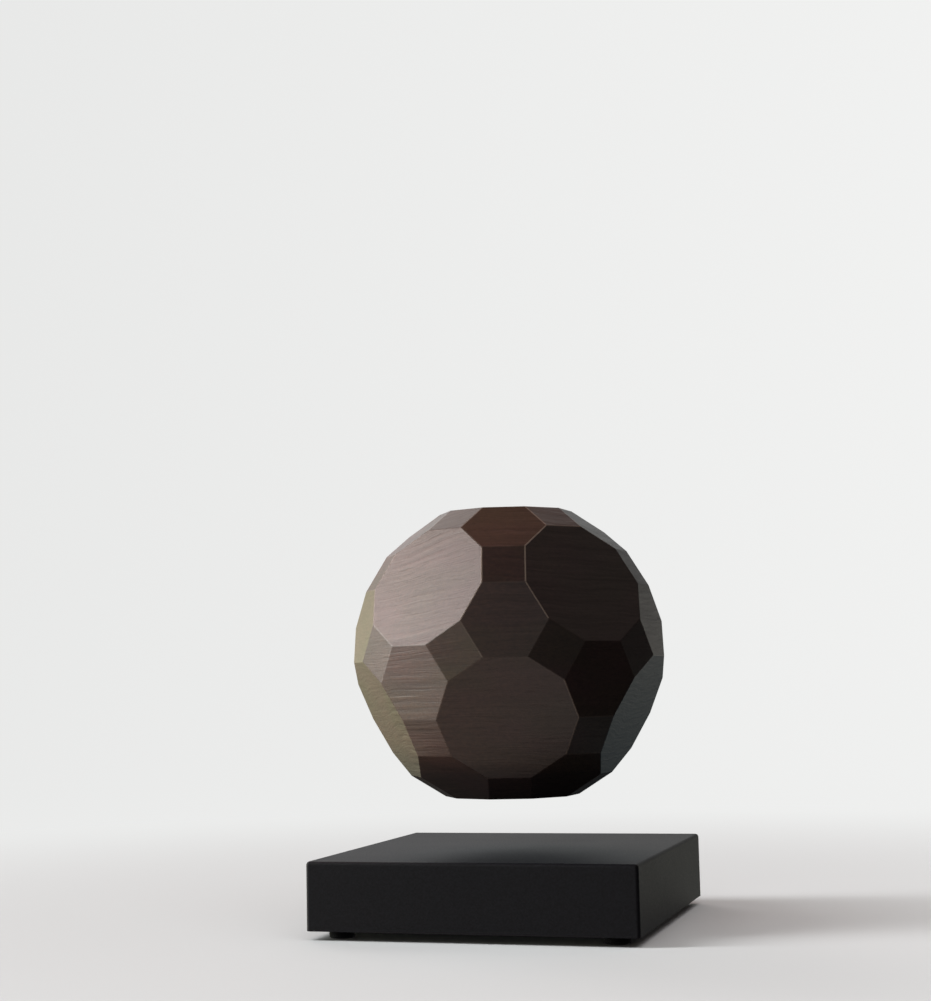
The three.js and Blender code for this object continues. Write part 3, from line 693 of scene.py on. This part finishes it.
# Carried-over nodes with eased edges: the easing, the number of steps round it, and the nodes.
SIDES = ("front", "left", "rear", "right")
SOFTENED = [
    (0.25 * MM, 3, ["bottom_plate", "magnet_retainer", "magnet_carrier"]),
    (0.20 * MM, 3, ["power_inlet"]),
    (0.15 * MM, 3, ["power_inlet_pin"]),
    (0.40 * MM, 3, ["ring_magnet", "floating_magnet", "magnet_back_plate"]),
    (0.15 * MM, 2, [f"coil_bobbin_{side}" for side in SIDES]),
    (0.20 * MM, 2, [f"coil_core_{side}" for side in SIDES]),
    (0.08 * MM, 2, ["controller_chip", "coil_driver_left", "coil_driver_right"]),
    (0.08 * MM, 2, [f"hall_sensor_{axis}" for axis in "xyz"]),
    (0.30 * MM, 2, ["inductor"]),
    (0.30 * MM, 3, ["capacitor_left", "capacitor_right"]),
]
HARD_EDGE = math.radians(40)
SAME_PLANE = math.radians(0.5)
SAME_POINT = 0.001 * MM


def soften(node, width, segments):
    """Joins a carried-over CAD node's triangles into faces and eases its hard edges."""
    piece = NODES[node]
    weld = piece.modifiers.new("joined triangles", "WELD")
    weld.merge_threshold = SAME_POINT
    flat = piece.modifiers.new("whole faces", "DECIMATE")
    flat.decimate_type = "DISSOLVE"
    flat.angle_limit = SAME_PLANE
    bevel = piece.modifiers.new("eased edges", "BEVEL")
    bevel.width = width
    bevel.segments = segments
    bevel.limit_method = "ANGLE"
    bevel.angle_limit = HARD_EDGE


# ---------------------------------------------------------------- stage
VIEW_AZIMUTH = 90 + math.degrees(CAMERA_TURN)
FLOOR_RADIUS = 1.0
CORNER_RADIUS = 0.7
WALL_TOP = 3.0
PAPER = (0.611, 0.626, 0.630, 1)
PAPER_LIT = (0.12, 0.62)  # how far out the paper takes only real light, and where it only glows
PAPER_GLOW = (0.995, 1.0, 0.992, 1)
WALL_GLOW = (0.81, 0.885)  # on the left and on the right
WALL_GLOW_REACH = 0.7
# A dim card just under the paper, where the base stands and shades it. It keeps the light from below off the
# base's underside and feet, and much of it off the base's right side.
SHADED_PAPER = ((-62 * MM, -62 * MM, -0.4 * MM), (105 * MM, 62 * MM, -0.2 * MM))
SHADED_PAPER_COLOUR = (0.02, 0.02, 0.02, 1)
SHADED_PAPER_GLOW = 0.15


def from_view(azimuth, elevation, distance=1.0, centre=(0, 0, 0)):
    """A place round centre, in a direction given in degrees: azimuth 0 is beyond the object, 90 to its left
    and 180 on the side of the main camera."""
    a, e = math.radians(VIEW_AZIMUTH + azimuth), math.radians(elevation)
    towards = Vector((math.cos(e) * math.cos(a), math.cos(e) * math.sin(a), math.sin(e)))
    return Vector(centre) + distance * towards


def paper():
    """Pale paper that takes real light and shadow near the object and further out glows, a little brighter on the
    right than on the left.
    """
    s = Shader("paper")
    spot = s.place()
    flat = s.node("ShaderNodeVectorMath", operation="MULTIPLY")
    s.feed(flat.inputs[0], spot)
    flat.inputs[1].default_value = (1, 1, 0)
    reach = s.node("ShaderNodeVectorMath", operation="LENGTH")
    s.feed(reach.inputs[0], flat.outputs[0])
    far = s.node("ShaderNodeMapRange", interpolation_type="SMOOTHSTEP")
    s.feed(far.inputs["Value"], reach.outputs["Value"])
    far.inputs["From Min"].default_value, far.inputs["From Max"].default_value = PAPER_LIT
    diffuse = s.node("ShaderNodeBsdfDiffuse")
    diffuse.inputs["Color"].default_value = PAPER
    glow = s.node("ShaderNodeEmission")
    glow.inputs["Color"].default_value = PAPER_GLOW
    across = s.node("ShaderNodeVectorMath", operation="DOT_PRODUCT")
    s.feed(across.inputs[0], spot)
    across.inputs[1].default_value = from_view(-90, 0)
    brightness = s.spread(across.outputs["Value"], -WALL_GLOW_REACH, WALL_GLOW_REACH, *WALL_GLOW)
    s.feed(glow.inputs["Strength"], brightness)
    blend = s.node("ShaderNodeMixShader")
    s.feed(blend.inputs[0], far.outputs["Result"])
    s.feed(blend.inputs[1], diffuse.outputs[0])
    s.feed(blend.inputs[2], glow.outputs[0])
    s.tree.links.new(blend.outputs[0], s.tree.nodes["Material Output"].inputs["Surface"])
    s.tree.nodes.remove(s.surface)
    return s.material


def shaded_paper():
    s = Shader("shaded_paper")
    white = (1, 1, 1, 1)
    return s.finish(SHADED_PAPER_COLOUR, 1.0, Emission_Color=white, Emission_Strength=SHADED_PAPER_GLOW)


def add_stage(name, mesh, material):
    mesh.materials.append(material)
    item = bpy.data.objects.new(name, mesh)
    bpy.context.scene.collection.objects.link(item)
    return item


def make_stage():
    """A round table of pale paper whose edge curves up all round, and the card under it. Only the camera
    sees the table: the object gets its surroundings from the world."""
    profile = [(0.0, 0.0), (FLOOR_RADIUS, 0.0)]
    profile += arc((FLOOR_RADIUS, CORNER_RADIUS), CORNER_RADIUS, -90, 0, 24)[1:]
    profile += [(FLOOR_RADIUS + CORNER_RADIUS, WALL_TOP), (0.0, WALL_TOP)]
    mesh = turned_mesh("backdrop", profile)
    for polygon in mesh.polygons:
        polygon.use_smooth = True
    backdrop = add_stage("backdrop", mesh, paper())
    backdrop.visible_diffuse = False
    backdrop.visible_glossy = False
    backdrop.visible_shadow = False
    card = add_stage("shaded_paper", box_mesh("shaded_paper", *SHADED_PAPER), shaded_paper())
    card.visible_camera = False
    return backdrop


# ---------------------------------------------------------------- light
AMBIENT = (0.004, 0.004, 0.005)
PATCH_CORE = 5  # degrees of full light in the middle of each patch
# What the object sees round it: azimuth and elevation as in from_view, half width, and colour.
SURROUNDINGS = [
    ("floor, left and behind", 35, 0, 21, (1.92, 1.94, 1.28)),
    ("wall, high on the left", 28, 32, 18, (3.4, 3.25, 3.25)),
    ("floor on the left", 90, -32, 28, (1.90, 1.62, 1.44)),
    ("room on the left", 92, -18, 22, (0.75, 0.52, 0.38)),
    ("room, left of the camera", 143, 10, 24, (0.58, 0.60, 0.42)),
    ("floor in front", 180, -45, 38, (0.84, 0.70, 0.64)),
    ("floor on the right", -45, -30, 30, (0.06, 0.11, 0.14)),
    ("room behind the camera", 180, 16, 36, (0.38, 0.34, 0.34)),
    ("room on the right", -90, 50, 38, (0.29, 0.23, 0.21)),
    ("wall, low on the right", -42, -4, 17, (0.74, 0.72, 0.63)),
    ("wall on the right", -28, 16, 20, (0.24, 0.22, 0.20)),
    ("wall", -6, 14, 34, (0.33, 0.36, 0.37)),
    ("wall, high", -3, 31, 20, (0.74, 0.74, 0.72)),
    ("ceiling behind", 0, 60, 30, (0.50, 0.19, 0.12)),
]


def make_surroundings():
    """Soft-edged patches of light on a dark world."""
    world = bpy.data.worlds.new("studio")
    world.use_nodes = True
    tree = world.node_tree
    background = tree.nodes["Background"]
    direction = tree.nodes.new("ShaderNodeTexCoord").outputs["Generated"]
    total = None
    for name, azimuth, elevation, spread, colour in SURROUNDINGS:
        towards = tree.nodes.new("ShaderNodeVectorMath")
        towards.operation = "DOT_PRODUCT"
        towards.label = name
        tree.links.new(direction, towards.inputs[0])
        towards.inputs[1].default_value = from_view(azimuth, elevation)
        patch = tree.nodes.new("ShaderNodeMapRange")
        patch.interpolation_type = "SMOOTHSTEP"
        tree.links.new(towards.outputs["Value"], patch.inputs["Value"])
        patch.inputs["From Min"].default_value = math.cos(math.radians(spread))
        patch.inputs["From Max"].default_value = math.cos(math.radians(PATCH_CORE))
        added = tree.nodes.new("ShaderNodeVectorMath")
        added.operation = "MULTIPLY_ADD"
        tree.links.new(patch.outputs["Result"], added.inputs[0])
        added.inputs[1].default_value = colour
        if total is None:
            added.inputs[2].default_value = AMBIENT
        else:
            tree.links.new(total, added.inputs[2])
        total = added.outputs[0]
    tree.links.new(total, background.inputs["Color"])
    bpy.context.scene.world = world


def area_light(name, azimuth, elevation, distance, target, size, power, colour=(1, 1, 1), shape="RECTANGLE"):
    """A light that shines at target from a place as in from_view."""
    place = from_view(azimuth, elevation, distance, target)
    data = bpy.data.lights.new(name, "AREA")
    data.shape = shape
    data.size, data.size_y = size
    data.energy = power
    data.color = colour
    light = bpy.data.objects.new(name, data)
    bpy.context.scene.collection.objects.link(light)
    light.location = place
    light.rotation_euler = (target - place).to_track_quat("-Z", "Y").to_euler()
    light.visible_camera = False
    return light


def light_only(light, name, receiver, state):
    """Keeps a light to one object, or away from it."""
    group = bpy.data.collections.new(name)
    group.objects.link(receiver)
    group.collection_objects[0].light_linking.link_state = state
    light.light_linking.receiver_collection = group


def make_lights(backdrop):
    """Two lights for the object, which leave the paper alone, and two for the paper only."""
    key = area_light("key", 90, 18, 1.5, BALL_CENTRE, (1.52, 1.52), power=39, colour=(1.0, 1.01, 0.95),
                     shape="DISK")
    lamp = area_light("warm_lamp", 80, 38, 1.4, BALL_CENTRE, (0.6, 0.6), power=4.9, colour=(1.0, 0.66, 0.65))
    for light in (key, lamp):
        light_only(light, f"not_lit_by_{light.name}", backdrop, "EXCLUDE")
    strip = area_light("paper_key", 90, 40, 16.0, BASE_CENTRE, (2.8, 16.0), power=2330)
    fill = area_light("paper_fill", -165, 70, 2.5, BASE_CENTRE, (2.6, 2.6), power=34)
    for light in (strip, fill):
        light_only(light, f"lit_by_{light.name}", backdrop, "INCLUDE")
    make_surroundings()
    bpy.context.scene.view_settings.view_transform = "Standard"


# ---------------------------------------------------------------- the scene
make_camera()
ball_pieces()
cover_piece()
foot_pieces()
for width, segments, nodes in SOFTENED:
    for node in nodes:
        soften(node, width, segments)
make_lights(make_stage())
